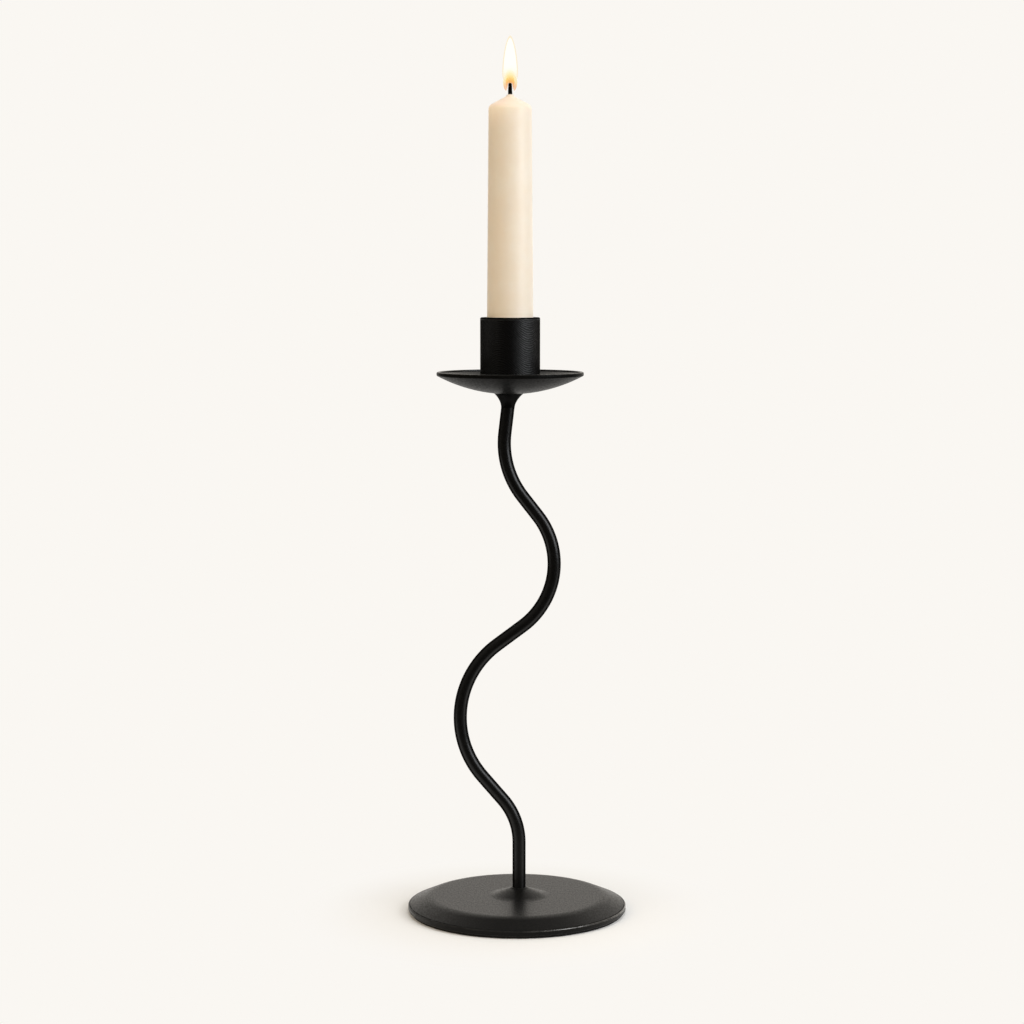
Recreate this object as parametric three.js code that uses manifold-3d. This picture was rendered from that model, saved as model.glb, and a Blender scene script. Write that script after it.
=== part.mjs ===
// Taper candle holder: a cast base on a felt ring, a rod bent in a flat wave, a flared collar, a dished
// drip pan and a turned cup, drawn together by two countersunk screws, with a taper candle in the cup.
// Millimetres, +Z up. The origin is on the table under the middle of the base. The waves of the rod lie
// in the XZ plane, with +X to the right as seen from the front.
import * as THREE from "three";
import { mergeVertices } from "three/addons/utils/BufferGeometryUtils.js";
import Module from "manifold-3d";

const wasm = await Module();
wasm.setup();

// Base
const BASE_DIAMETER = 105;
const BASE_RISE = 6.7;
const BASE_RIM_HEIGHT = 2.4;
const BASE_WALL = 3;
const SHOULDER_SLOPE = 26;
const SHOULDER_RADIUS = 18;
const FOOT_WIDTH = 9;
const BOSS_DIAMETER = 25;
const BOSS_RISE = 3.4;
const BOSS_LIP = 1;
const BOSS_FILLET = 7;
const PAD_DIAMETER = 18;
const PAD_RECESS = 1.4;
const SCREW_WEB = 4;
const CAST_FILLET = 1.5;
const EDGE_ROUND = 0.4;

// Felt ring
const FELT_THICKNESS = 1.3;
const FELT_INSET = 1.2;

// Rod, from the foot up: turns in degrees, each bend turning against the one before it
const STEM_DIAMETER = 6.35;
const FOOT_STRAIGHT = 25.7;
const FOOT_BEND_RADIUS = 26;
const FOOT_BEND_TURN = 40.8;
const LOWER_STRAIGHT = 15.7;
const LOWER_BEND_RADIUS = 43.9;
const LOWER_BEND_TURN = 94.1;
const MIDDLE_STRAIGHT = 15.3;
const UPPER_BEND_RADIUS = 37.4;
const UPPER_BEND_TURN = 91.2;
const UPPER_STRAIGHT = 11.7;
const NECK_BEND_RADIUS = 41.4;
const NECK_BEND_TURN = 52.5;
const NECK_STRAIGHT = 4;
const TOP_BEND_RADIUS = 14;

// Collar
const COLLAR_DIAMETER = 13.6;
const COLLAR_HEIGHT = 5.2;
const COLLAR_EDGE = 0.3;

// Drip pan
const PAN_DIAMETER = 69.8;
const PAN_DEPTH = 10.1;
const PAN_SHEET = 1.6;

// Cup
const CUP_HEIGHT = 34.7;
const CUP_WALL = 2.5;
const CUP_FLOOR = 3;
const CUP_LIP_ROUND = 0.7;
const CUP_FLOOR_FILLET = 0.8;

// Screws: as thick as leaves TAP_WALL of the rod around the tapped hole
const TAP_WALL = 0.75;
const TAP_RUNOUT = 1;
const SCREW_LENGTH = 12;
const SCREW_HEAD_FLARE = 2;
const SCREW_LAND = 0.3;
const SCREW_POINT = 0.5;
const SLOT_WIDTH = 1.1;
const SLOT_DEPTH = 1.1;

// Candle and wick
const CANDLE_DIAMETER = 22.4;
const CANDLE_TOP_DIAMETER = 20.3;
const CANDLE_LENGTH = 135;
const CANDLE_CONE_RISE = 4.9;
const CANDLE_SHOULDER_ROUND = 2;
const CANDLE_FOOT_ROUND = 0.8;
const CANDLE_TIP_LIP = 0.6;
const WICK_DIAMETER = 2.2;
const WICK_TIP_DIAMETER = 1.5;
const WICK_SHOWING = 5.8;
const WICK_TIP_ROUND = 0.4;

// Clearances
const SEAT_GAP = 0.3;
const SOCKET_GAP = 0.2;
const BRAZE_GAP = 0.15;
const SCREW_GAP = 0.25;
const CANDLE_GAP = 0.5;
const WICK_GAP = 0.3;

// Facets
const BASE_SEGMENTS = 48;
const PAN_SEGMENTS = 48;
const CUP_SEGMENTS = 40;
const COLLAR_SEGMENTS = 24;
const SCREW_SEGMENTS = 20;
const WICK_SEGMENTS = 12;
const STEM_SIDES = 16;
const STEM_STEPS = 80;
const DISH_STEPS = 6;
const FLARE_STEPS = 6;
const CHORD_ERROR = 0.04;

// Radii that several pieces share
const stemRadius = STEM_DIAMETER / 2;
const screwHoleRadius = stemRadius - TAP_WALL;
const screwRadius = screwHoleRadius - SCREW_GAP;
const screwHeadRadius = screwRadius + SCREW_HEAD_FLARE;
const countersinkRadius = screwHeadRadius + SCREW_GAP;
const countersinkDepth = SCREW_LAND + SCREW_HEAD_FLARE;
const candleFootRadius = CANDLE_DIAMETER / 2;
const cupBoreRadius = candleFootRadius + CANDLE_GAP;
const cupRadius = cupBoreRadius + CUP_WALL;

// Levels above the underside of the base's foot
const bossTop = BASE_RISE + BOSS_RISE;
const socketFloor = PAD_RECESS + SCREW_WEB;
const stemFoot = socketFloor + SEAT_GAP;

// The dish of the pan is part of a hollow sphere, described above the top end of the rod
const panBeadRadius = PAN_SHEET / 2;
const panRimRadius = PAN_DIAMETER / 2 - panBeadRadius;
const panRimRise = PAN_DEPTH - PAN_SHEET;
const panMiddleRadius = (panRimRadius ** 2 + panRimRise ** 2) / (2 * panRimRise);
const panOuterRadius = panMiddleRadius + panBeadRadius;
const panInnerRadius = panMiddleRadius - panBeadRadius;
const panCentre = SEAT_GAP + panOuterRadius;
const panRimAngle = Math.asin(panRimRadius / panMiddleRadius);

// Levels above the top end of the rod
const cupUnderside = SEAT_GAP + PAN_SHEET + SEAT_GAP;
const cupFloor = cupUnderside + CUP_FLOOR;
const cupTop = cupUnderside + CUP_HEIGHT;
const candleFoot = cupFloor + SEAT_GAP;

// Materials
const blackCoat = new THREE.MeshStandardMaterial({ color: 0x1b1a19, roughness: 0.55, metalness: 0.25 });
const plainSteel = new THREE.MeshStandardMaterial({ color: 0x9a9a98, roughness: 0.4, metalness: 1 });
const blackFelt = new THREE.MeshStandardMaterial({ color: 0x161616, roughness: 1, metalness: 0 });
const ivoryWax = new THREE.MeshStandardMaterial({ color: 0xf2e3c8, roughness: 0.45, metalness: 0 });
const burntCotton = new THREE.MeshStandardMaterial({ color: 0x2a2320, roughness: 1, metalness: 0 });

const radians = THREE.MathUtils.degToRad;

// Arc that rounds a corner of an outline, limited to half of the shorter of its two edges
function roundedCorner(corner, before, after, radius) {
  const toBefore = before.clone().sub(corner);
  const toAfter = after.clone().sub(corner);
  const halfAngle = Math.acos(toBefore.dot(toAfter) / (toBefore.length() * toAfter.length())) / 2;
  const shorterEdge = Math.min(toBefore.length(), toAfter.length());
  const reach = Math.min(radius / Math.tan(halfAngle), shorterEdge / 2);
  const arcRadius = reach * Math.tan(halfAngle);
  const clockwise = toAfter.cross(toBefore) < 0;
  const start = toBefore.clone().setLength(reach);
  const end = toAfter.clone().setLength(reach);
  const centre = start.clone().add(end).setLength(reach / Math.cos(halfAngle));
  const from = start.sub(centre).angle();
  const to = end.sub(centre).angle();
  centre.add(corner);
  const stepAngle = 2 * Math.acos(Math.max(0, 1 - CHORD_ERROR / arcRadius));
  const steps = Math.ceil((Math.PI - 2 * halfAngle) / stepAngle);
  const arc = new THREE.EllipseCurve(centre.x, centre.y, arcRadius, arcRadius, from, to, clockwise);
  return arc.getPoints(steps);
}

// Outline in the (radius, height) plane, anticlockwise, from corners [radius, height, rounding].
// It closes on itself unless it starts on the axis.
function outline(corners) {
  const points = corners.map(([radius, height]) => new THREE.Vector2(radius, height));
  const rounded = corners.flatMap(([, , rounding], i) => {
    const next = points[(i + 1) % points.length];
    return rounding ? roundedCorner(points[i], points.at(i - 1), next, rounding) : [points[i]];
  });
  return points[0].x > 0 ? [...rounded, rounded[0].clone()] : rounded;
}

// Arc about a centre on the axis, as outline corners. Angles are measured from straight down.
function dishArc(centreHeight, radius, fromAngle, toAngle) {
  const down = -Math.PI / 2;
  const inward = toAngle < fromAngle;
  const arc = new THREE.EllipseCurve(
    0, centreHeight, radius, radius, down + fromAngle, down + toAngle, inward,
  );
  return arc.getPoints(DISH_STEPS).map((point) => point.toArray());
}

// Solid of revolution about Z
function revolve(points, segments) {
  return new THREE.LatheGeometry(points, segments).rotateX(Math.PI / 2);
}

// Closed solid for cutting: corners shared, and the empty triangles at a revolve's poles left out
function solidOf(geometry) {
  const bare = geometry.clone().deleteAttribute("normal").deleteAttribute("uv");
  const shared = mergeVertices(bare);
  const triangles = [];
  for (let i = 0; i < shared.index.count; i += 3) {
    const corners = [0, 1, 2].map((k) => shared.index.getX(i + k));
    if (new Set(corners).size === corners.length) triangles.push(...corners);
  }
  return new wasm.Manifold(new wasm.Mesh({
    numProp: 3,
    vertProperties: new Float32Array(shared.attributes.position.array),
    triVerts: new Uint32Array(triangles),
  }));
}

// Geometry left after cutting each of the tools away
function cut(geometry, ...tools) {
  const body = tools.reduce((rest, tool) => rest.subtract(solidOf(tool)), solidOf(geometry));
  const { vertProperties, triVerts } = body.getMesh();
  const result = new THREE.BufferGeometry();
  result.setAttribute("position", new THREE.BufferAttribute(vertProperties, 3));
  result.setIndex(new THREE.BufferAttribute(triVerts, 1));
  result.computeVertexNormals();
  return result;
}

function part(name, geometry, material) {
  const mesh = new THREE.Mesh(geometry, material.clone());
  mesh.name = name;
  return mesh;
}

// Cast base, hollow underneath: a flat foot at the rim, a screw pad in the middle, a socket for the rod
function basePlate() {
  const rim = BASE_DIAMETER / 2;
  const shoulder = rim - (BASE_RISE - BASE_RIM_HEIGHT) / Math.tan(radians(SHOULDER_SLOPE));
  const ceiling = BASE_RISE - BASE_WALL;
  const socketRadius = stemRadius + SOCKET_GAP;
  const profile = outline([
    [countersinkRadius, PAD_RECESS],
    [PAD_DIAMETER / 2, PAD_RECESS, EDGE_ROUND],
    [PAD_DIAMETER / 2, ceiling, CAST_FILLET],
    [rim - FOOT_WIDTH, ceiling, CAST_FILLET],
    [rim - FOOT_WIDTH, 0, EDGE_ROUND],
    [rim, 0, EDGE_ROUND],
    [rim, BASE_RIM_HEIGHT, EDGE_ROUND],
    [shoulder, BASE_RISE, SHOULDER_RADIUS],
    [BOSS_DIAMETER / 2, BASE_RISE, BOSS_FILLET],
    [socketRadius + BOSS_LIP, bossTop, EDGE_ROUND],
    [socketRadius, bossTop],
    [socketRadius, socketFloor],
    [screwHoleRadius, socketFloor],
    [screwHoleRadius, PAD_RECESS + countersinkDepth],
    [countersinkRadius, PAD_RECESS + SCREW_LAND],
  ]);
  return revolve(profile, BASE_SEGMENTS);
}

// Felt ring under the foot of the base
function baseFelt() {
  const outer = BASE_DIAMETER / 2 - FELT_INSET;
  const inner = BASE_DIAMETER / 2 - FOOT_WIDTH + FELT_INSET;
  const profile = outline([
    [inner, 0],
    [outer, 0],
    [outer, FELT_THICKNESS],
    [inner, FELT_THICKNESS],
  ]);
  return revolve(profile, BASE_SEGMENTS);
}

// Countersunk screw, its slotted face at the origin and its point down
function screw() {
  const blank = revolve(outline([
    [0, -SCREW_LENGTH],
    [screwRadius - SCREW_POINT, -SCREW_LENGTH],
    [screwRadius, SCREW_POINT - SCREW_LENGTH],
    [screwRadius, -countersinkDepth],
    [screwHeadRadius, -SCREW_LAND],
    [screwHeadRadius, 0],
    [0, 0],
  ]), SCREW_SEGMENTS);
  const slotLength = 3 * screwHeadRadius;
  const slot = new THREE.BoxGeometry(SLOT_WIDTH, slotLength, 2 * SLOT_DEPTH);
  return cut(blank, slot);
}

// Centre line of the rod: straights and tangent bends in a plane, starting and ending upright
function rodLine() {
  const line = new THREE.Path();
  let heading = Math.PI / 2;

  const straight = (length) => {
    const { x, y } = line.currentPoint;
    line.lineTo(x + length * Math.cos(heading), y + length * Math.sin(heading));
  };

  const bend = (radius, turn) => {
    const { x, y } = line.currentPoint;
    const side = Math.sign(turn);
    const from = heading - side * Math.PI / 2;
    const centreX = x - radius * Math.cos(from);
    const centreY = y - radius * Math.sin(from);
    line.absarc(centreX, centreY, radius, from, from + turn, side < 0);
    heading += turn;
  };

  line.moveTo(0, stemFoot);
  straight(bossTop - stemFoot + FOOT_STRAIGHT);
  bend(FOOT_BEND_RADIUS, radians(FOOT_BEND_TURN));
  straight(LOWER_STRAIGHT);
  bend(LOWER_BEND_RADIUS, -radians(LOWER_BEND_TURN));
  straight(MIDDLE_STRAIGHT);
  bend(UPPER_BEND_RADIUS, radians(UPPER_BEND_TURN));
  straight(UPPER_STRAIGHT);
  bend(NECK_BEND_RADIUS, -radians(NECK_BEND_TURN));
  straight(NECK_STRAIGHT);
  bend(TOP_BEND_RADIUS, Math.PI / 2 - heading);
  straight(COLLAR_HEIGHT);
  return line;
}

// Flat path stood up in the XZ plane
class UprightCurve extends THREE.Curve {
  constructor(path) {
    super();
    this.path = path;
  }

  getPoint(t, target = new THREE.Vector3()) {
    const { x, y } = this.path.getPoint(t);
    return target.set(x, 0, y);
  }
}

// Bent rod with a tapped hole in each end, deep enough for the screw that enters there
function stem(line) {
  const section = new THREE.Shape().absarc(0, 0, stemRadius, 0, 2 * Math.PI);
  const rod = new THREE.ExtrudeGeometry(section, {
    extrudePath: new UprightCurve(line),
    steps: STEM_STEPS,
    curveSegments: STEM_SIDES / 2,
    bevelEnabled: false,
  });
  const footDepth = SCREW_LENGTH - SCREW_WEB - SEAT_GAP + TAP_RUNOUT;
  const topDepth = SCREW_LENGTH - cupFloor + TAP_RUNOUT;
  const top = line.getPoint(1);
  return cut(rod, tapDrill(0, stemFoot, footDepth), tapDrill(top.x, top.y, topDepth));
}

// Cylinder about an end of the rod that reaches the same depth to both sides of it
function tapDrill(x, endHeight, depth) {
  const drill = new THREE.CylinderGeometry(screwHoleRadius, screwHoleRadius, 2 * depth, SCREW_SEGMENTS);
  return drill.rotateX(Math.PI / 2).translate(x, 0, endHeight);
}

// Flared bush round the top of the rod, its upper face turned to the underside of the pan
function stemCollar() {
  const bore = stemRadius + BRAZE_GAP;
  const neck = bore + COLLAR_EDGE;
  const rim = COLLAR_DIAMETER / 2;
  const seatRadius = panOuterRadius + SEAT_GAP;
  const seat = dishArc(panCentre, seatRadius, Math.asin(rim / seatRadius), Math.asin(bore / seatRadius));
  const flare = new THREE.QuadraticBezierCurve(
    new THREE.Vector2(neck, -COLLAR_HEIGHT),
    new THREE.Vector2(neck, -COLLAR_HEIGHT / 2),
    new THREE.Vector2(...seat[0]),
  );
  const flareCorners = flare.getPoints(FLARE_STEPS).map((point) => point.toArray());
  return revolve(outline([[bore, -COLLAR_HEIGHT], ...flareCorners, ...seat.slice(1)]), COLLAR_SEGMENTS);
}

// Dished pan with a full-round lip and a hole for the screw
function dripPan() {
  const outerHole = Math.asin(screwHoleRadius / panOuterRadius);
  const innerHole = Math.asin(screwHoleRadius / panInnerRadius);
  const rimHeight = panCentre - panMiddleRadius * Math.cos(panRimAngle);
  const underside = dishArc(panCentre, panOuterRadius, outerHole, panRimAngle);
  const inside = dishArc(panCentre, panInnerRadius, panRimAngle, innerHole);
  const lipStart = panRimAngle - Math.PI / 2;
  const lip = new THREE.EllipseCurve(
    panRimRadius, rimHeight, panBeadRadius, panBeadRadius, lipStart, lipStart + Math.PI,
  );
  const lipCorners = lip.getPoints(DISH_STEPS).slice(1, -1).map((point) => point.toArray());
  return revolve(outline([...underside, ...lipCorners, ...inside]), PAN_SEGMENTS);
}

// Turned cup, its underside crowned to sit in the dish of the pan
function candleCup() {
  const crownRadius = panInnerRadius - SEAT_GAP;
  const crown = dishArc(
    panCentre, crownRadius, Math.asin(screwHoleRadius / crownRadius), Math.asin(cupRadius / crownRadius),
  );
  const profile = outline([
    ...crown,
    [cupRadius, cupTop, CUP_LIP_ROUND],
    [cupBoreRadius, cupTop, CUP_LIP_ROUND],
    [cupBoreRadius, cupFloor, CUP_FLOOR_FILLET],
    [countersinkRadius, cupFloor],
    [countersinkRadius, cupFloor - SCREW_LAND],
    [screwHoleRadius, cupFloor - countersinkDepth],
  ]);
  return revolve(profile, CUP_SEGMENTS);
}

// Taper candle standing on z = 0, with a burnt cone on top and a hole for the wick
function candle() {
  const wickHole = WICK_DIAMETER / 2 + WICK_GAP;
  const profile = outline([
    [wickHole, 0],
    [candleFootRadius, 0, CANDLE_FOOT_ROUND],
    [CANDLE_TOP_DIAMETER / 2, CANDLE_LENGTH - CANDLE_CONE_RISE, CANDLE_SHOULDER_ROUND],
    [wickHole + CANDLE_TIP_LIP, CANDLE_LENGTH],
    [wickHole, CANDLE_LENGTH],
  ]);
  return revolve(profile, CUP_SEGMENTS);
}

// Wick through the whole candle, narrowing where it has burnt
function wick() {
  const tip = CANDLE_LENGTH + WICK_SHOWING;
  const profile = outline([
    [0, 0],
    [WICK_DIAMETER / 2, 0],
    [WICK_DIAMETER / 2, CANDLE_LENGTH],
    [WICK_TIP_DIAMETER / 2, tip, WICK_TIP_ROUND],
    [0, tip],
  ]);
  return revolve(profile, WICK_SEGMENTS);
}

const centreLine = rodLine();
const rodTop = centreLine.getPoint(1);

const litCandle = new THREE.Group();
litCandle.position.z = candleFoot;
litCandle.add(part("candle", candle(), ivoryWax), part("wick", wick(), burntCotton));

const cupScrew = part("cup_screw", screw(), plainSteel);
cupScrew.position.z = cupFloor;

const head = new THREE.Group();
head.position.set(rodTop.x, 0, rodTop.y);
head.add(
  part("stem_collar", stemCollar(), blackCoat),
  part("drip_pan", dripPan(), blackCoat),
  part("candle_cup", candleCup(), blackCoat),
  cupScrew,
  litCandle,
);

const baseScrew = part("base_screw", screw(), plainSteel);
baseScrew.position.z = PAD_RECESS;
baseScrew.rotation.x = Math.PI;

const standing = new THREE.Group();
standing.position.z = FELT_THICKNESS;
standing.add(
  part("base_plate", basePlate(), blackCoat),
  part("stem", stem(centreLine), blackCoat),
  baseScrew,
  head,
);

const candleHolder = new THREE.Group();
candleHolder.add(part("base_felt", baseFelt(), blackFelt), standing);

export default candleHolder;
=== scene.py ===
import math

import bmesh
import bpy
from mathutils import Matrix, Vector
from mathutils.geometry import interpolate_bezier


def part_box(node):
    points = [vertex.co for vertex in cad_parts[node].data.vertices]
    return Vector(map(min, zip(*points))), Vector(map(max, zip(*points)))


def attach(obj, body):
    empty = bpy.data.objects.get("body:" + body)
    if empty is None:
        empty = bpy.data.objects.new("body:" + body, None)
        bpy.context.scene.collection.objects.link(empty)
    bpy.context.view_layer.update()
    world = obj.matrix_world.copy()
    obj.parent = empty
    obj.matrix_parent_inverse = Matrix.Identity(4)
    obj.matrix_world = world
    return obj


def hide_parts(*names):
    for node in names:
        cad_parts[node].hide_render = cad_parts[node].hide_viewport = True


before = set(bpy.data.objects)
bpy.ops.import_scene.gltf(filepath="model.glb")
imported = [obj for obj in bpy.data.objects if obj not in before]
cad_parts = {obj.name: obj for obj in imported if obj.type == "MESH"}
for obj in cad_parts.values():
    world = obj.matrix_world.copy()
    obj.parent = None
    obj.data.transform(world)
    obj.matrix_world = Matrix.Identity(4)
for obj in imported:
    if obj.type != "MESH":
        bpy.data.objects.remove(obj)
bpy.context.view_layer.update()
print("frame loaded:", len(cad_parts), "nodes")

mm = 0.001
fullTurn = 2 * math.pi

baseLow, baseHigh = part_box("base_plate")
feltLow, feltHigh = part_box("base_felt")
stemLow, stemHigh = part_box("stem")
collarLow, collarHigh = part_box("stem_collar")
panLow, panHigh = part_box("drip_pan")
cupLow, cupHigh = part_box("candle_cup")
candleLow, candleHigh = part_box("candle")
wickLow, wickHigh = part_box("wick")
headX = (cupLow.x + cupHigh.x) / 2  # the pan, cup and candle share this axis


# Hand tools

def deselectAll():
    bpy.ops.object.select_all(action="DESELECT")


def keepOnly(piece):
    deselectAll()
    piece.select_set(True)
    bpy.context.view_layer.objects.active = piece


def editAll(piece):
    keepOnly(piece)
    bpy.ops.object.mode_set(mode="EDIT")
    bpy.ops.mesh.select_all(action="SELECT")


def objectMode():
    bpy.ops.object.mode_set(mode="OBJECT")


def rename(piece, name):
    piece.name = name
    piece.data.name = name


def applyModifier(piece, modifier):
    keepOnly(piece)
    bpy.ops.object.modifier_apply(modifier=modifier.name)


def pickVerts(piece, test):
    # edit mode: selects the vertices whose place passes the test
    bpy.ops.mesh.select_all(action="DESELECT")
    bpy.ops.mesh.select_mode(type="VERT")
    mesh = bmesh.from_edit_mesh(piece.data)
    for vert in mesh.verts:
        vert.select_set(test(vert.co))
    mesh.select_flush(True)
    bmesh.update_edit_mesh(piece.data)


def dragSoft(piece, test, move, reach, falloff="SMOOTH"):
    # moves the vertices that pass the test and draws what is round them along
    editAll(piece)
    pickVerts(piece, test)
    bpy.ops.transform.translate(value=move, use_proportional_edit=True, use_proportional_connected=True,
                                proportional_edit_falloff=falloff, proportional_size=reach)
    objectMode()


def roundCorner(corner, before, after, radius, stepAngle):
    toBefore = (before - corner).normalized()
    toAfter = (after - corner).normalized()
    half = toBefore.angle(toAfter) / 2
    reach = radius / math.tan(half)
    centre = corner + (toBefore + toAfter).normalized() * (radius / math.sin(half))
    start = corner + toBefore * reach - centre
    sweep = start.angle_signed(corner + toAfter * reach - centre)
    steps = max(3, math.ceil(abs(sweep) / stepAngle))
    arc = []
    for i in range(steps + 1):
        turn = -sweep * i / steps
        spoke = Vector((start.x * math.cos(turn) - start.y * math.sin(turn),
                        start.x * math.sin(turn) + start.y * math.cos(turn)))
        arc.append(centre + spoke)
    return arc


def softOutline(corners, stepAngle=math.radians(9), holdEdge=0.25 * mm):
    # corners are (radius, height) or (radius, height, rounding); long edges get a holding point at each end
    places = [Vector(corner[:2]) for corner in corners]
    onAxis = places[0].x < 1e-7
    points = []
    for i, corner in enumerate(corners):
        if len(corner) > 2:
            after = places[(i + 1) % len(places)]
            points += roundCorner(places[i], places[i - 1], after, corner[2], stepAngle)
        else:
            points.append(places[i])
    if not onAxis:
        points.append(points[0].copy())
    held = [points[0]]
    for last, point in zip(points, points[1:]):
        edge = point - last
        if edge.length > 6 * holdEdge:
            held.append(last + edge.normalized() * holdEdge)
            held.append(point - edge.normalized() * holdEdge)
        held.append(point)
    return held


def drawOutline(name, outline, axisX):
    # one vertex is dragged round the outline, in the XZ plane
    deselectAll()
    bpy.ops.mesh.primitive_plane_add(size=mm, location=(0, 0, 0))
    piece = bpy.context.object
    rename(piece, name)
    editAll(piece)
    bpy.ops.mesh.merge(type="CENTER")
    places = [Vector((axisX + point[0], 0, point[1])) for point in outline]
    bpy.ops.transform.translate(value=places[0])
    for last, place in zip(places, places[1:]):
        bpy.ops.mesh.extrude_region_move(TRANSFORM_OT_translate={"value": place - last})
    objectMode()
    return piece


def turnPiece(name, outline, axisX=0.0, segments=160):
    # the outline is spun round a standing axis, as on a lathe
    piece = drawOutline(name, outline, axisX)
    editAll(piece)
    bpy.ops.mesh.spin(steps=segments, angle=fullTurn, center=(axisX, 0, 0), axis=(0, 0, 1))
    cleanShell(piece)
    return piece


def cleanShell(piece):
    if bpy.context.mode == "OBJECT":
        editAll(piece)
    bpy.ops.mesh.select_all(action="SELECT")
    bpy.ops.mesh.remove_doubles(threshold=1e-6)
    bpy.ops.mesh.normals_make_consistent(inside=False)
    objectMode()


def dishArc(centreHeight, radius, fromRadius, toRadius, steps):
    # part of a circle about the axis, below its centre
    fromAngle = math.asin(fromRadius / radius)
    toAngle = math.asin(toRadius / radius)
    arc = []
    for i in range(steps + 1):
        angle = fromAngle + (toAngle - fromAngle) * i / steps
        arc.append((radius * math.sin(angle), centreHeight - radius * math.cos(angle)))
    return arc


def finishPiece(piece, body, material, nodes=(), smoothAngle=32):
    keepOnly(piece)
    bpy.ops.object.shade_smooth_by_angle(angle=math.radians(smoothAngle))
    piece.data.materials.clear()
    piece.data.materials.append(material)
    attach(piece, body)
    if nodes:
        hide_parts(*nodes)
    print("piece:", piece.name, len(piece.data.polygons), "faces")


# Node tools

def setInputs(node, values):
    for name, value in values.items():
        node.inputs[name].default_value = value


def newGroup(name, inputs, outputs):
    group = bpy.data.node_groups.new(name, "ShaderNodeTree")
    for label, kind, value in inputs:
        socket = group.interface.new_socket(name=label, in_out="INPUT", socket_type=kind)
        socket.default_value = value
    for label, kind in outputs:
        group.interface.new_socket(name=label, in_out="OUTPUT", socket_type=kind)
    entry = group.nodes.new("NodeGroupInput")
    leave = group.nodes.new("NodeGroupOutput")
    return group, entry, leave


def newMaterial(name, shaderValues):
    material = bpy.data.materials.new(name)
    material.use_nodes = True
    tree = material.node_tree
    tree.nodes.clear()
    shader = tree.nodes.new("ShaderNodeBsdfPrincipled")
    out = tree.nodes.new("ShaderNodeOutputMaterial")
    tree.links.new(shader.outputs["BSDF"], out.inputs["Surface"])
    setInputs(shader, shaderValues)
    return material, tree, shader


def placeGroup(tree, group, values):
    node = tree.nodes.new("ShaderNodeGroup")
    node.node_tree = group
    setInputs(node, values)
    return node


def noise(tree, vector, scale, detail=2.0, roughness=0.5):
    node = tree.nodes.new("ShaderNodeTexNoise")
    setInputs(node, {"Scale": scale, "Detail": detail, "Roughness": roughness})
    tree.links.new(vector, node.inputs["Vector"])
    return node


def mapRange(tree, value, fromLow, fromHigh, toLow=0.0, toHigh=1.0, smooth=True):
    node = tree.nodes.new("ShaderNodeMapRange")
    node.interpolation_type = "SMOOTHSTEP" if smooth else "LINEAR"
    setInputs(node, {"From Min": fromLow, "From Max": fromHigh, "To Min": toLow, "To Max": toHigh})
    tree.links.new(value, node.inputs["Value"])
    return node.outputs["Result"]


def math2(tree, operation, first, second):
    node = tree.nodes.new("ShaderNodeMath")
    node.operation = operation
    for socket, value in zip(node.inputs, (first, second)):
        if isinstance(value, (int, float)):
            socket.default_value = value
        else:
            tree.links.new(value, socket)
    return node.outputs["Value"]


def hypot(tree, first, second):
    squares = math2(tree, "ADD", math2(tree, "MULTIPLY", first, first),
                    math2(tree, "MULTIPLY", second, second))
    return math2(tree, "SQRT", squares, 0.0)


def blend(tree, mask, first, second):
    kept = math2(tree, "MULTIPLY", first, math2(tree, "SUBTRACT", 1.0, mask))
    return math2(tree, "ADD", kept, math2(tree, "MULTIPLY", mask, second))


def softBelow(tree, value, limit, edge):
    # 1 under the limit, 0 over it
    return mapRange(tree, value, limit + edge, limit - edge)


def mixColor(tree, factor, first, second):
    node = tree.nodes.new("ShaderNodeMix")
    node.data_type = "RGBA"
    colours = [socket for socket in node.inputs if socket.type == "RGBA"]
    if isinstance(factor, (int, float)):
        node.inputs[0].default_value = factor
    else:
        tree.links.new(factor, node.inputs[0])
    for socket, value in zip(colours, (first, second)):
        if isinstance(value, tuple):
            socket.default_value = value
        else:
            tree.links.new(value, socket)
    return next(socket for socket in node.outputs if socket.type == "RGBA")


def colourRamp(tree, value, stops):
    node = tree.nodes.new("ShaderNodeValToRGB")
    points = node.color_ramp.elements
    while len(points) < len(stops):
        points.new(1.0)
    for point, (place, colour) in zip(points, stops):
        point.position = place
        point.color = colour
    tree.links.new(value, node.inputs["Fac"])
    return node.outputs["Color"]


def bumpFrom(tree, height, shader, strength, distance):
    bump = tree.nodes.new("ShaderNodeBump")
    setInputs(bump, {"Strength": strength, "Distance": distance})
    tree.links.new(height, bump.inputs["Height"])
    tree.links.new(bump.outputs["Normal"], shader.inputs["Normal"])
    return bump


def objectPlace(tree):
    return tree.nodes.new("ShaderNodeTexCoord").outputs["Object"]


def splitPlace(tree, place):
    split = tree.nodes.new("ShaderNodeSeparateXYZ")
    tree.links.new(place, split.inputs["Vector"])
    return split.outputs["X"], split.outputs["Y"], split.outputs["Z"]


def vectorMath(tree, operation, first, second):
    node = tree.nodes.new("ShaderNodeVectorMath")
    node.operation = operation
    for socket, value in zip(node.inputs, (first, second)):
        if isinstance(value, tuple):
            socket.default_value = value
        else:
            tree.links.new(value, socket)
    return node.outputs["Value" if operation in ("LENGTH", "DOT_PRODUCT") else "Vector"]


# Shared effects

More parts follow.
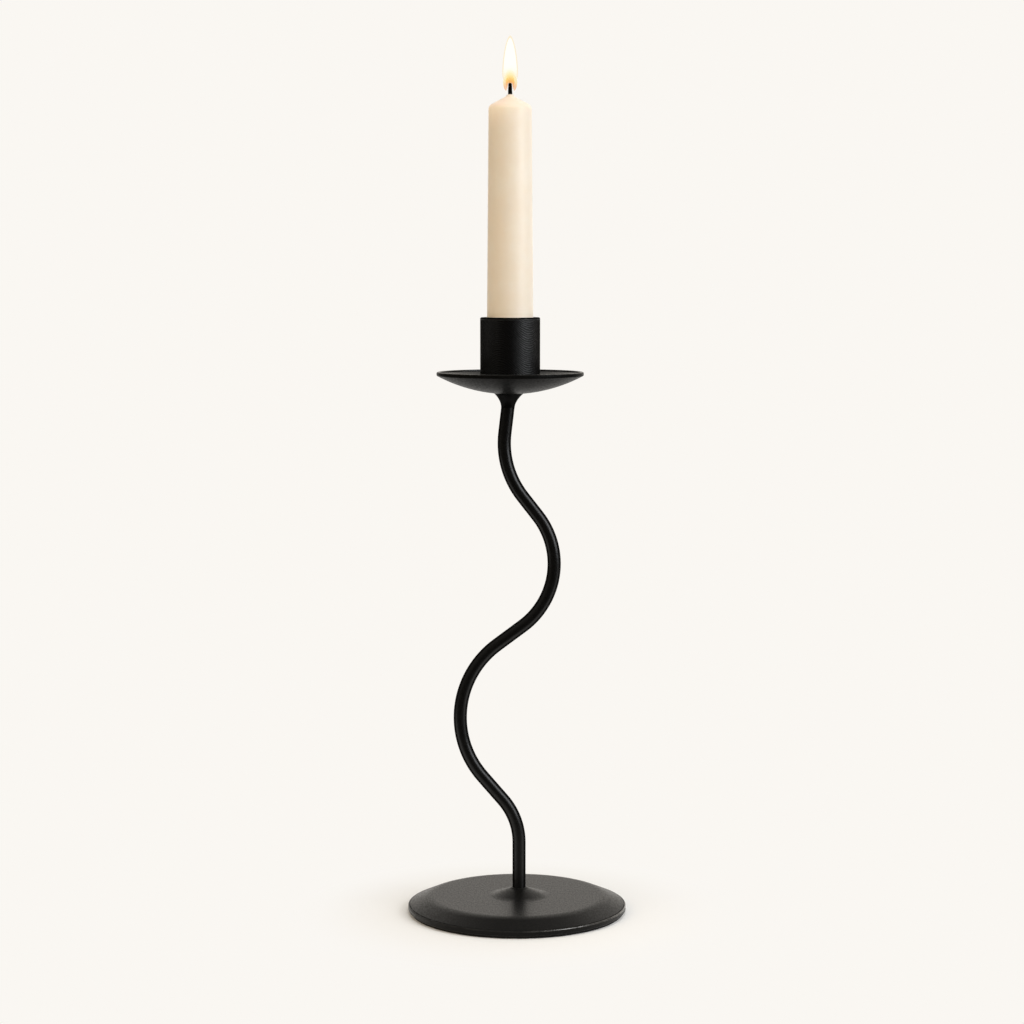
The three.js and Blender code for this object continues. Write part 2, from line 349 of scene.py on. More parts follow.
def makeCoatGrain():
    # baked powder: a pebbled grain over finer pimples, paler dust in the hollows, gloss that wanders
    group, entry, leave = newGroup(
        "coatGrain",
        [("Pebbles", "NodeSocketVector", (1200, 1200, 1200)), ("Pimples", "NodeSocketFloat", 3400),
         ("Coat", "NodeSocketColor", (0.0034, 0.0033, 0.0031, 1)),
         ("Dust", "NodeSocketColor", (0.016, 0.0152, 0.014, 1)),
         ("Gloss Low", "NodeSocketFloat", 0.38), ("Gloss High", "NodeSocketFloat", 0.42)],
        [("Color", "NodeSocketColor"), ("Roughness", "NodeSocketFloat"), ("Height", "NodeSocketFloat"),
         ("Grain", "NodeSocketFloat")])
    place = objectPlace(group)
    pebbles = noise(group, vectorMath(group, "MULTIPLY", place, entry.outputs["Pebbles"]), 1.0, 1.0, 0.45)
    pimples = noise(group, place, 1.0, 1.0, 0.5)
    group.links.new(entry.outputs["Pimples"], pimples.inputs["Scale"])
    patch = noise(group, place, 70.0, 3.0, 0.6)
    fineShare = math2(group, "MULTIPLY", pimples.outputs["Fac"], 0.22)
    height = math2(group, "ADD", pebbles.outputs["Fac"], fineShare)
    dustMask = mapRange(group, pebbles.outputs["Fac"], 0.6, 0.36, 0.0, 0.6)
    colour = mixColor(group, dustMask, entry.outputs["Coat"], entry.outputs["Dust"])
    gloss = group.nodes.new("ShaderNodeMapRange")
    setInputs(gloss, {"From Min": 0.35, "From Max": 0.65})
    group.links.new(patch.outputs["Fac"], gloss.inputs["Value"])
    group.links.new(entry.outputs["Gloss Low"], gloss.inputs["To Min"])
    group.links.new(entry.outputs["Gloss High"], gloss.inputs["To Max"])
    group.links.new(colour, leave.inputs["Color"])
    group.links.new(gloss.outputs["Result"], leave.inputs["Roughness"])
    group.links.new(height, leave.inputs["Height"])
    speckle = mapRange(group, pebbles.outputs["Fac"], 0.34, 0.66, smooth=False)
    group.links.new(speckle, leave.inputs["Grain"])
    return group


def makeEdgeRingMask():
    # a ring mask at a radius and height, broken by noise; it places painted dark lines, and worn edges that
    # also paint highlights
    group, entry, leave = newGroup(
        "edgeRingMask",
        [("Axis X", "NodeSocketFloat", 0.0), ("Radius", "NodeSocketFloat", 0.05),
         ("Height", "NodeSocketFloat", 0.0), ("Width", "NodeSocketFloat", 0.001),
         ("Front", "NodeSocketFloat", 1.0), ("Left", "NodeSocketFloat", 1.0)],
        [("Mask", "NodeSocketFloat")])
    place = objectPlace(group)
    x, y, z = splitPlace(group, place)
    across = math2(group, "SUBTRACT", x, entry.outputs["Axis X"])
    offRing = math2(group, "SUBTRACT", hypot(group, across, y), entry.outputs["Radius"])
    offHeight = math2(group, "SUBTRACT", z, entry.outputs["Height"])
    gap = math2(group, "DIVIDE", hypot(group, offRing, offHeight), entry.outputs["Width"])
    near = mapRange(group, gap, 1.0, 0.35)
    broken = mapRange(group, noise(group, place, 260.0, 3.0, 0.6).outputs["Fac"], 0.3, 0.62, 0.25, 1.0)
    # weaker at the front and back when Front is under 1
    aside = math2(group, "DIVIDE", across, entry.outputs["Radius"])
    gripped = mapRange(group, math2(group, "ABSOLUTE", aside, 0.0), 0.2, 0.75)
    rest = math2(group, "MULTIPLY", math2(group, "SUBTRACT", 1.0, gripped), entry.outputs["Front"])
    share = math2(group, "ADD", gripped, rest)
    # and less on the left when Left is under 1
    right = mapRange(group, aside, -0.1, 0.3)
    rest = math2(group, "MULTIPLY", math2(group, "SUBTRACT", 1.0, right), entry.outputs["Left"])
    share = math2(group, "MULTIPLY", share, math2(group, "ADD", right, rest))
    mask = math2(group, "MULTIPLY", math2(group, "MULTIPLY", near, broken), share)
    group.links.new(mask, leave.inputs["Mask"])
    return group


coatGrain = makeCoatGrain()
edgeRingMask = makeEdgeRingMask()
# painted shade: the near-black colour of the dark lines painted along creases and where parts meet
paintedShadeColour = (0.001, 0.001, 0.001, 1)
# painted shade: a darker copy of the coat, used on the collar and the cup
shadedCoatCopy = {"Coat": (0.0021, 0.002, 0.0019, 1), "Dust": (0.0036, 0.0034, 0.0032, 1)}


def makeRipple(tree, r):
    # the fine scalloped lines a turning tool leaves, still felt through the coat
    place = objectPlace(tree)
    x, y, z = splitPlace(tree, place)
    bearing = math2(tree, "ARCTAN2", y, math2(tree, "SUBTRACT", x, r["axisX"]))
    scallop = math2(tree, "MULTIPLY", math2(tree, "SUBTRACT", bearing, r["turn"]), r["scallops"])
    hang = math2(tree, "MULTIPLY", math2(tree, "COSINE", scallop, 0.0), r["hang"])
    waver = math2(tree, "MULTIPLY", noise(tree, place, 160.0, 2.0, 0.5).outputs["Fac"], r["waver"])
    level = math2(tree, "ADD", math2(tree, "ADD", z, hang), waver)
    return math2(tree, "SINE", math2(tree, "MULTIPLY", level, fullTurn / r["pitch"]), 0.0)


def makeCoat(name, c):
    # gloss is how far the binder shines as the surface turns away, in stops of (facing, weight)
    material, tree, shader = newMaterial(name, {
        "IOR": c.get("under", 1.05), "Coat IOR": c["binder"][0], "Coat Roughness": c["binder"][1]})
    grain = placeGroup(tree, coatGrain, c["grain"])
    colour = grain.outputs["Color"]
    rough = grain.outputs["Roughness"]
    turned = tree.nodes.new("ShaderNodeLayerWeight")
    turned.inputs["Blend"].default_value = 0.5
    shine = colourRamp(tree, turned.outputs["Facing"], [(place, (w, w, w, 1)) for place, w in c["gloss"]])
    speckle = mapRange(tree, grain.outputs["Grain"], 0, 1, *c["speckle"], smooth=False)
    shine = math2(tree, "MULTIPLY", shine, speckle)
    if "ripple" in c:
        ripple = makeRipple(tree, c["ripple"])
        glint = mapRange(tree, ripple, -1, 1, *c["ripple"]["shine"], smooth=False)
        shine = math2(tree, "MULTIPLY", shine, glint)
    if "inside" in c:
        # a dish is wiped clean inside, so its binder shines there
        inside = c["inside"]
        offset = vectorMath(tree, "SUBTRACT", objectPlace(tree), inside["centre"])
        within = vectorMath(tree, "LENGTH", offset, (0, 0, 0))
        level = vectorMath(tree, "LENGTH", vectorMath(tree, "MULTIPLY", offset, (1, 1, 0)), (0, 0, 0))
        inBowl = softBelow(tree, within, inside["radius"], inside["bowlEdge"])
        inRim = softBelow(tree, level, inside["reach"], inside["rimEdge"])
        wiped = math2(tree, "MULTIPLY", inBowl, inRim)
        shine = blend(tree, wiped, shine, inside["shine"])
    # painted shade: dark lines along creases and joints, with the binder's gloss taken off there
    for crease in c.get("shadeCreases", ()):
        dark = placeGroup(tree, edgeRingMask, crease).outputs["Mask"]
        colour = mixColor(tree, dark, colour, paintedShadeColour)
        shine = math2(tree, "MULTIPLY", shine, math2(tree, "SUBTRACT", 1.0, dark))
    # partly wear, partly painted highlight: a lighter, glossier ring along an edge, bare metal where metal is
    # given
    if "ring" in c:
        wearAndHighlight = c["wearAndHighlight"]
        wearAndHighlightMask = placeGroup(tree, edgeRingMask, c["ring"]).outputs["Mask"]
        colour = mixColor(tree, wearAndHighlightMask, colour, wearAndHighlight["colour"])
        rough = blend(tree, wearAndHighlightMask, rough, wearAndHighlight["roughness"])
        if "shine" in wearAndHighlight:
            shine = math2(tree, "MAXIMUM", shine, math2(tree, "MULTIPLY", wearAndHighlightMask, wearAndHighlight["shine"]))
        if "metal" in wearAndHighlight:
            bare = mapRange(tree, wearAndHighlightMask, 0.04, 0.2, 0.0, wearAndHighlight["metal"])
            tree.links.new(bare, shader.inputs["Metallic"])
    tree.links.new(colour, shader.inputs["Base Color"])
    tree.links.new(rough, shader.inputs["Roughness"])
    tree.links.new(shine, shader.inputs["Coat Weight"])
    height = grain.outputs["Height"]
    if "ripple" in c:
        height = math2(tree, "ADD", height, math2(tree, "MULTIPLY", ripple, c["ripple"]["share"]))
    bump = bumpFrom(tree, height, shader, 1.0, c["relief"])
    tree.links.new(bump.outputs["Normal"], shader.inputs["Coat Normal"])
    return material


wax = {
    "mottle": ((0.945, 0.80, 0.64, 1), (0.965, 0.835, 0.685, 1)), "coneShadeColour": (0.91, 0.735, 0.585, 1),
    # depths under the candle's top
    "coneShadeFrom": 6.4 * mm, "coneShadeTo": 4.6 * mm, "litDepth": 40 * mm,
    # places across the candle, from its axis
    "coneShadeSide": (0.5 * mm, 7 * mm), "glowSide": (-9 * mm, 7 * mm),
    "glow": [(0.4, (0, 0, 0, 1)), (0.6, (0.022, 0.014, 0.008, 1)), (0.68, (0.06, 0.04, 0.022, 1)),
             (0.75, (0.12, 0.08, 0.048, 1)), (0.835, (0.21, 0.145, 0.09, 1)), (0.86, (0.2, 0.14, 0.088, 1)),
             (0.89, (0.08, 0.055, 0.032, 1)), (1.0, (0.03, 0.018, 0.009, 1))],
}


def makeWax(w):
    # ivory wax, mottled inside, with a painted glow at its top for the flame's light through the wax
    top = candleHigh.z
    material, tree, shader = newMaterial("ivoryWax", {
        "IOR": 1.44, "Subsurface Weight": 0.3, "Subsurface Radius": (1.0, 0.9, 0.8),
        "Subsurface Scale": 4 * mm, "Coat Weight": 0.5, "Coat Roughness": 0.5, "Emission Strength": 1.0})
    place = objectPlace(tree)
    mottle = noise(tree, place, 90.0, 4.0, 0.6)
    skin = noise(tree, place, 420.0, 2.0, 0.5)
    body = mixColor(tree, mapRange(tree, mottle.outputs["Fac"], 0.3, 0.75), *w["mottle"])
    parts = splitPlace(tree, place)
    across = math2(tree, "SUBTRACT", parts[0], headX)
    z = parts[2]
    # painted shade: the burnt cone is darkened, fully on its left and less towards its right
    coneShade = math2(tree, "MULTIPLY", mapRange(tree, z, top - w["coneShadeFrom"], top - w["coneShadeTo"]),
                     mapRange(tree, across, *w["coneShadeSide"], 1.0, 0.45))
    body = mixColor(tree, coneShade, body, w["coneShadeColour"])
    tree.links.new(body, shader.inputs["Base Color"])
    tree.links.new(mapRange(tree, skin.outputs["Fac"], 0.3, 0.7, 0.4, 0.52), shader.inputs["Roughness"])
    # painted glow: emission over the top 40 mm, brightest a few millimetres under the top and stronger on the
    # left
    lit = mapRange(tree, z, top - w["litDepth"], top, smooth=False)
    glow = colourRamp(tree, lit, w["glow"])
    glowSide = mapRange(tree, across, *w["glowSide"], 1.0, 0.12)
    glow = mixColor(tree, glowSide, (0, 0, 0, 1), glow)
    tree.links.new(glow, shader.inputs["Emission Color"])
    bumpFrom(tree, math2(tree, "ADD", skin.outputs["Fac"], mottle.outputs["Fac"]), shader, 0.25, 0.05 * mm)
    return material


def makeWick():
    # charred cotton, pale only where the wax holds it
    material, tree, shader = newMaterial("charredCotton", {"Roughness": 0.95, "Specular IOR Level": 0.08})
    place = objectPlace(tree)
    fibre = noise(tree, place, 3200.0, 3.0, 0.6)
    height = splitPlace(tree, place)[2]
    charFrom = candleHigh.z - 1.0 * mm
    charTo = candleHigh.z - 0.2 * mm
    charred = mapRange(tree, height, charFrom, charTo)
    soot = mixColor(tree, mapRange(tree, fibre.outputs["Fac"], 0.35, 0.75),
                    (0.0012, 0.001, 0.0008, 1), (0.005, 0.0038, 0.003, 1))
    tree.links.new(mixColor(tree, charred, (0.72, 0.56, 0.36, 1), soot), shader.inputs["Base Color"])
    bumpFrom(tree, fibre.outputs["Fac"], shader, 0.6, 0.08 * mm)
    return material


def makeFelt():
    material, tree, shader = newMaterial(
        "blackFelt", {"Specular IOR Level": 0.1, "Sheen Weight": 0.08, "Sheen Roughness": 0.6})
    place = objectPlace(tree)
    fibre = noise(tree, place, 1500.0, 6.0, 0.7)
    clump = noise(tree, place, 190.0, 3.0, 0.6)
    tree.links.new(mixColor(tree, mapRange(tree, fibre.outputs["Fac"], 0.3, 0.75),
                            (0.004, 0.004, 0.004, 1), (0.022, 0.021, 0.02, 1)), shader.inputs["Base Color"])
    tree.links.new(mapRange(tree, clump.outputs["Fac"], 0.3, 0.7, 0.85, 1.0), shader.inputs["Roughness"])
    bumpFrom(tree, math2(tree, "ADD", fibre.outputs["Fac"], clump.outputs["Fac"]), shader, 0.9, 0.25 * mm)
    return material


def makeScrewSteel(name, axisX):
    # zinc-plated steel with the rings that turning leaves
    material, tree, shader = newMaterial(name, {"Metallic": 1.0})
    place = objectPlace(tree)
    centred = tree.nodes.new("ShaderNodeMapping")
    centred.inputs["Location"].default_value = (-axisX, 0, 0)
    tree.links.new(place, centred.inputs["Vector"])
    rings = tree.nodes.new("ShaderNodeTexWave")
    rings.wave_type = "RINGS"
    rings.rings_direction = "Z"
    setInputs(rings, {"Scale": 1400.0, "Distortion": 1.5, "Detail": 2.0, "Detail Scale": 1.5})
    tree.links.new(centred.outputs["Vector"], rings.inputs["Vector"])
    stain = noise(tree, place, 380.0, 4.0, 0.6)
    tree.links.new(mixColor(tree, mapRange(tree, stain.outputs["Fac"], 0.35, 0.7),
                            (0.50, 0.49, 0.46, 1), (0.68, 0.68, 0.66, 1)), shader.inputs["Base Color"])
    tree.links.new(mapRange(tree, stain.outputs["Fac"], 0.3, 0.7, 0.28, 0.42), shader.inputs["Roughness"])
    bumpFrom(tree, rings.outputs["Fac"], shader, 0.35, 0.02 * mm)
    return material


ivoryWax = makeWax(wax)
charredCotton = makeWick()
blackFelt = makeFelt()
print("materials made")


# Base: cast iron, hollow underneath

base = {
    "radius": (baseHigh.x - baseLow.x) / 2, "foot": baseLow.z, "top": baseLow.z + 6.7 * mm,
    "rimHeight": 2.4 * mm, "rimRound": 0.45 * mm, "slope": math.radians(23.5), "shoulderRadius": 11 * mm,
    "bossRadius": 13.2 * mm, "bossFillet": 11 * mm, "bossLip": 4.5 * mm, "lipDrop": 0.1 * mm,
    "lipRound": 0.3 * mm, "bossShift": 1.0 * mm, "bossReach": 12 * mm, "bead": 0.5 * mm, "socket": 3.2 * mm,
    "socketFloor": baseLow.z + 5.4 * mm, "wall": 3 * mm, "footWidth": 9 * mm, "castRound": 1.5 * mm,
    "padRadius": 9 * mm, "padFace": baseLow.z + 1.4 * mm, "sink": 4.4 * mm, "sinkLand": 0.3 * mm,
    "screwHole": 2.4 * mm, "stepAngle": math.radians(4), "segments": 220,
}


baseCoat = makeCoat("baseCoat", {
    "grain": {"Pebbles": (1500, 480, 1500), "Dust": (0.013, 0.0122, 0.0112, 1)}, "relief": 0.05 * mm,
    "binder": (1.34, 0.35), "speckle": (0.75, 1.25),
    "gloss": [(0.05, 0.3), (0.24, 0.45), (0.4, 0.58), (0.5, 0.72), (0.64, 0.66), (0.76, 0.74), (0.9, 0.86),
              (0.97, 0.48)],
    # partly wear, partly painted glint: a bare-metal rim edge kept mostly to the right, where the side panel
    # glints
    "ring": {"Radius": baseHigh.x - 0.1 * mm, "Height": baseLow.z + 2.35 * mm, "Width": 0.5 * mm,
             "Left": 0.1},
    "wearAndHighlight": {"colour": (0.13, 0.125, 0.12, 1), "roughness": 0.2, "metal": 1.0},
    # painted shade: a dark line just above the rim's edge
    "shadeCreases": [{"Radius": baseHigh.x - 0.65 * mm, "Height": baseLow.z + 2.72 * mm, "Width": 0.4 * mm,
                 "Front": 0.4}],
})


def makeBase(b):
    shoulder = b["radius"] - (b["top"] - b["foot"] - b["rimHeight"]) / math.tan(b["slope"])
    ceiling = b["top"] - b["wall"]
    sinkEnd = b["padFace"] + b["sinkLand"] + b["sink"] - b["screwHole"]
    inner = b["radius"] - b["footWidth"]
    outline = softOutline([
        (b["sink"], b["padFace"]),
        (b["padRadius"], b["padFace"], b["rimRound"]),
        (b["padRadius"], ceiling, 0.9 * b["castRound"]),
        (inner, ceiling, b["castRound"]),
        (inner, b["foot"], b["rimRound"]),
        (b["radius"], b["foot"], b["rimRound"]),
        (b["radius"], b["foot"] + b["rimHeight"], b["rimRound"]),
        (shoulder, b["top"], b["shoulderRadius"]),
        (b["bossRadius"], b["top"], b["bossFillet"]),
        (b["bossLip"], baseHigh.z - b["lipDrop"], b["lipRound"]),
        (b["socket"] + 0.8 * b["bead"], baseHigh.z + b["bead"], b["lipRound"]),
        (b["socket"], baseHigh.z + b["bead"]),
        (b["socket"], b["socketFloor"]),
        (b["screwHole"], b["socketFloor"]),
        (b["screwHole"], sinkEnd),
        (b["sink"], b["padFace"] + b["sinkLand"]),
    ], b["stepAngle"])
    piece = turnPiece("cast_base", outline, 0.0, b["segments"])
    # the boss and the rod in it stand a little right of the middle
    dragSoft(piece, lambda co: co.z > b["top"] + 0.02 * mm, (b["bossShift"], 0, 0), b["bossReach"])
    finishPiece(piece, "holder", baseCoat, ["base_plate"])


makeBase(base)


# Felt ring under the foot

felt = {"outer": feltHigh.x, "inner": feltHigh.x - 6.6 * mm, "round": 0.3 * mm, "segments": 200}


def makeFeltRing(f):
    outline = softOutline([
        (f["inner"], feltLow.z, f["round"]), (f["outer"], feltLow.z, f["round"]),
        (f["outer"], feltHigh.z), (f["inner"], feltHigh.z)])
    piece = turnPiece("felt_ring", outline, 0.0, f["segments"])
    finishPiece(piece, "holder", blackFelt, ["base_felt"])


makeFeltRing(felt)


# Rod: one length of round bar, bent cold in one plane

rod = {
    "radius": 3.175 * mm, "sides": 44, "stepAngle": math.radians(2.5),
    "firstStraight": baseHigh.z - stemLow.z + 22.31 * mm,
    # bend radius, turn towards the left in degrees, straight after it
    "bends": [(32, 40.8, 15), (43.9, -94.1, 15.3), (37.4, 91.2, 11.7), (41.4, -44.6, 0)],
    "topGap": 0.3 * mm,
}


# painted light: the rod's coat colour is a lighter copy of the coat, to brighten the rod's middle
rodCoat = makeCoat("rodCoat", {
    "grain": {"Pebbles": (1100, 1100, 700), "Coat": (0.0038, 0.0036, 0.0034, 1),
              "Dust": (0.0066, 0.0062, 0.0058, 1)},
    "relief": 0.04 * mm, "under": 1.025, "binder": (1.41, 0.3), "speckle": (0.85, 1.15),
    "gloss": [(0.0, 0.12), (0.12, 0.75), (0.2, 1.0), (0.38, 0.0)],
})


def towards(angle):
    # a direction in the rod's plane
    return Vector((math.cos(angle), 0, math.sin(angle)))


def makeRod(r):
    deselectAll()
    bpy.ops.mesh.primitive_circle_add(vertices=r["sides"], radius=r["radius"], location=(0, 0, 0))
    piece = bpy.context.object
    rename(piece, "bent_rod")
    editAll(piece)
    place = Vector((base["bossShift"], 0, stemLow.z))
    bpy.ops.transform.translate(value=place)
    heading = math.pi / 2

    def straight(length):
        step = towards(heading) * length
        bpy.ops.mesh.extrude_region_move(TRANSFORM_OT_translate={"value": step})
        return place + step

    place = straight(r["firstStraight"])
    for radius, turn, after in r["bends"]:
        side = math.copysign(1, turn)
        angle = math.radians(abs(turn))
        quarter = side * math.pi / 2  # from the rod towards the middle of the bend
        middle = place + towards(heading + quarter) * radius * mm
        steps = math.ceil(angle / r["stepAngle"])
        bpy.ops.mesh.spin(steps=steps, angle=angle, center=middle, axis=(0, side, 0))
        heading += side * angle
        place = middle - towards(heading + quarter) * radius * mm
        if after:
            place = straight(after * mm)
    # the last straight leans into the pan
    place = straight((stemHigh.z - place.z) / math.sin(heading) - r["topGap"])
    bpy.ops.mesh.select_all(action="SELECT")
    bpy.ops.mesh.fill_holes(sides=0)
    cleanShell(piece)
    print("rod top:", [round(c / mm, 2) for c in place], "axis of the head:", round(headX / mm, 2))
    finishPiece(piece, "holder", rodCoat, ["stem"], smoothAngle=40)


makeRod(rod)


# Pan: a spun dish with a trimmed, eased lip

pan = {
    "radius": (panHigh.x - panLow.x) / 2, "sheet": 1.6 * mm, "bottom": stemHigh.z + 0.3 * mm,
    "top": panHigh.z, "lipRound": 0.62 * mm, "lipRise": 0.42 * mm, "lipWidth": 1.5 * mm, "lipInner": 0.4 * mm,
    "underEdge": 0.05 * mm, "wipedEdge": 0.35 * mm, "hole": 2.4 * mm, "steps": 40, "segments": 220,
}
panRim = pan["radius"] - pan["sheet"] / 2
panRise = pan["top"] - pan["bottom"] - pan["sheet"]
panCurve = (panRim ** 2 + panRise ** 2) / (2 * panRise)  # radius of the middle of the sheet
panOuter = panCurve + pan["sheet"] / 2
panInner = panCurve - pan["sheet"] / 2
panCentre = pan["bottom"] + panOuter


panCoat = makeCoat("panCoat", {
    "grain": {"Pebbles": (1300, 1300, 1300), "Dust": (0.007, 0.0067, 0.0062, 1)}, "relief": 0.05 * mm,
    "binder": (1.47, 0.37), "speckle": (0.4, 1.6), "gloss": [(0.5, 0.045), (0.74, 0.2), (0.97, 0.42)],
    "inside": {"centre": (headX, 0, panCentre), "radius": panCurve, "bowlEdge": 0.3 * mm,
               "reach": pan["radius"] - pan["wipedEdge"], "rimEdge": 0.1 * mm, "shine": 1.0},
    # partly wear, partly painted highlight: a lighter, glossier line along the lip, weaker at its front and
    # back
    "ring": {"Axis X": headX, "Radius": pan["radius"] - 0.5 * mm, "Height": pan["top"] + pan["lipRise"],
             "Width": 0.8 * mm, "Front": 0.3},
    "wearAndHighlight": {"colour": (0.024, 0.023, 0.021, 1), "roughness": 0.5, "shine": 0.6},
})


def makePan(p):
    under = dishArc(panCentre, panOuter, p["hole"], p["radius"] - p["underEdge"], p["steps"])
    inside = dishArc(panCentre, panInner, p["radius"] - p["lipWidth"], p["hole"], p["steps"])
    lipTop = p["top"] + p["lipRise"]
    corners = under[:-1] + [
        (p["radius"], under[-1][1], p["lipRound"]),
        (p["radius"], lipTop, p["lipRound"]),
        (p["radius"] - p["lipWidth"], lipTop, p["lipInner"]),
    ] + inside
    piece = turnPiece("dished_pan", softOutline(corners), headX, p["segments"])
    finishPiece(piece, "holder", panCoat, ["drip_pan"])


makePan(pan)


# Collar: flared bush brazed round the rod, faired into it at the bottom and leaning with it

collar = {
    "rim": (collarHigh.x - collarLow.x) / 2 + 0.2 * mm, "neck": 3.24 * mm, "drop": 6.2 * mm,
    "bore": 3.08 * mm, "neckShare": 0.42, "flareEnd": Vector((0.42, 0.36)) * 4.6 * mm, "flareSteps": 24,
    "lean": 1.1 * mm, "leanReach": 17 * mm, "segments": 120,
}


collarCoat = makeCoat("collarCoat", {
    "grain": {"Pebbles": (1100, 1100, 1100), **shadedCoatCopy}, "relief": 0.04 * mm,
    "binder": (1.26, 0.4), "speckle": (0.85, 1.15), "gloss": [(0.0, 0.15), (0.2, 0.35), (0.5, 0.0)],
    # painted shade: a contact line where the collar meets the pan
    "shadeCreases": [{"Axis X": headX, "Radius": collar["rim"], "Height": collarHigh.z, "Width": 0.7 * mm}],
})


def makeCollar(c):
    seat = dishArc(panCentre, panOuter, c["rim"], c["bore"], 8)
    low = stemHigh.z - c["drop"]
    rim = Vector(seat[0])
    neckEnd = Vector((c["neck"], low + c["neckShare"] * c["drop"]))
    flare = interpolate_bezier(Vector((c["neck"], low)), neckEnd, rim - c["flareEnd"], rim, c["flareSteps"])
    outline = [(c["bore"], low)] + [tuple(point[:2]) for point in flare] + seat[1:]
    piece = turnPiece("flared_collar", softOutline(outline), headX, c["segments"])
    # its foot follows the leaning rod
    dragSoft(piece, lambda co: co.z < low + 0.05 * mm, (-c["lean"], 0, 0), c["leanReach"], "LINEAR")
    finishPiece(piece, "holder", collarCoat, ["stem_collar"], smoothAngle=40)


makeCollar(collar)


# Cup: turned from bar, crowned underneath to sit in the dish

cup = {
    "radius": (cupHigh.x - cupLow.x) / 2, "wall": 2.5 * mm, "floor": candleLow.z - 0.3 * mm,
    "lip": cupHigh.z - 0.25 * mm, "lipRound": 0.7 * mm, "footRound": 0.25 * mm, "seatGap": 0.02 * mm,
    "floorRound": 0.8 * mm, "sink": 4.4 * mm, "sinkLand": 0.3 * mm, "screwHole": 2.4 * mm, "segments": 180,
}
cupFoot = panCentre - math.sqrt(panInner ** 2 - cup["radius"] ** 2)  # height where the wall meets the dish


cupCoat = makeCoat("cupCoat", {
    "grain": {"Pebbles": (900, 900, 1300), **shadedCoatCopy}, "relief": 0.13 * mm,
    "ripple": {"axisX": headX, "turn": math.radians(-51), "scallops": 3, "hang": 4.2 * mm,
               "waver": 1.6 * mm, "pitch": 1.05 * mm, "share": 0.34, "shine": (0.58, 1.42)},
    "under": 1.03, "binder": (1.36, 0.43), "speckle": (0.8, 1.2),
    "gloss": [(0.0, 0.26), (0.1, 1.0), (0.2, 1.0), (0.34, 0.7), (0.55, 0.2), (0.72, 0.0)],
    # partly wear, partly painted highlight: a lighter, glossier line just under the lip
    "ring": {"Axis X": headX, "Radius": cup["radius"], "Height": cup["lip"] - 0.95 * mm,
             "Width": 0.45 * mm},
    "wearAndHighlight": {"colour": (0.01, 0.0098, 0.0094, 1), "roughness": 0.4, "shine": 0.55},
    # painted shade: a dark line along the lip and a contact line where the cup meets the pan
    "shadeCreases": [{"Axis X": headX, "Radius": cup["radius"] - 0.3 * mm, "Height": cup["lip"],
                 "Width": 1.0 * mm},
                {"Axis X": headX, "Radius": cup["radius"], "Height": cupFoot, "Width": 0.7 * mm}],
})


def makeCup(c):
    crown = dishArc(panCentre, panInner - c["seatGap"], c["screwHole"], c["radius"], 12)
    bore = c["radius"] - c["wall"]
    corners = crown[:-1] + [
        crown[-1] + (c["footRound"],),
        (c["radius"], c["lip"], c["lipRound"]),
        (bore, c["lip"], c["lipRound"]),
        (bore, c["floor"], c["floorRound"]),
        (c["sink"], c["floor"]),
        (c["sink"], c["floor"] - c["sinkLand"]),
        (c["screwHole"], c["floor"] - c["sinkLand"] - c["sink"] + c["screwHole"]),
    ]
    piece = turnPiece("turned_cup", softOutline(corners), headX, c["segments"])
    finishPiece(piece, "holder", cupCoat, ["candle_cup"])


makeCup(cup)


# Screws: countersunk and slotted

screw = {
    "radius": 2.1 * mm, "head": 4.15 * mm, "land": 0.3 * mm, "length": 12 * mm, "point": 0.5 * mm,
    "slotWidth": 1.1 * mm, "slotDepth": 1.1 * mm, "edge": 0.12 * mm, "segments": 64,
}


def makeScrew(name, axisX, face, up, material, node):
    s = screw
    shank = s["radius"]
    flare = s["head"] - shank
    outline = softOutline([
        (0, face - up * s["length"]),
        (shank - s["point"], face - up * s["length"]),
        (shank, face - up * (s["length"] - s["point"])),
        (shank, face - up * (s["land"] + flare)),
        (s["head"], face - up * s["land"]),
        (s["head"], face, s["edge"]),
        (0, face),
    ])
    piece = turnPiece(name, outline, axisX, s["segments"])
    deselectAll()
    bpy.ops.mesh.primitive_cube_add(size=1, location=(0, 0, 0))
    cutter = bpy.context.object
    editAll(cutter)
    bpy.ops.transform.resize(value=(s["slotWidth"], 3 * s["head"], 2 * s["slotDepth"]))
    bpy.ops.transform.translate(value=(axisX, 0, face))
    objectMode()
    slot = piece.modifiers.new("slot", "BOOLEAN")
    slot.operation = "DIFFERENCE"
    slot.object = cutter
    slot.solver = "EXACT"
    applyModifier(piece, slot)
    bpy.data.objects.remove(cutter)
    finishPiece(piece, "holder", material, [node], smoothAngle=30)


makeScrew("lower_screw", 0.0, base["padFace"], -1, makeScrewSteel("lowerScrewSteel", 0.0), "base_screw")
makeScrew("upper_screw", headX, cup["floor"], 1, makeScrewSteel("upperScrewSteel", headX), "cup_screw")


# Candle: slightly tapered, with the cone that burning leaves

candle = {
    "foot": (candleHigh.x - candleLow.x) / 2, "shoulder": 10.15 * mm, "coneRise": 4.9 * mm,
    "shoulderRound": 2.7 * mm, "footRound": 0.8 * mm, "nub": 2.1 * mm, "nubDrop": 0.65 * mm,
    "nubRound": 1.2 * mm, "lip": 1.3 * mm, "lipRise": 0.35 * mm, "lipRound": 0.25 * mm,
    "wickHole": 0.8 * mm, "holeRise": 0.2 * mm,
    "sag": 0.4 * mm, "sagPlace": 6.3 * mm, "sagSpot": 1 * mm, "sagReach": 4.5 * mm, "holdEdge": 0.6 * mm,
    "segments": 144,
}


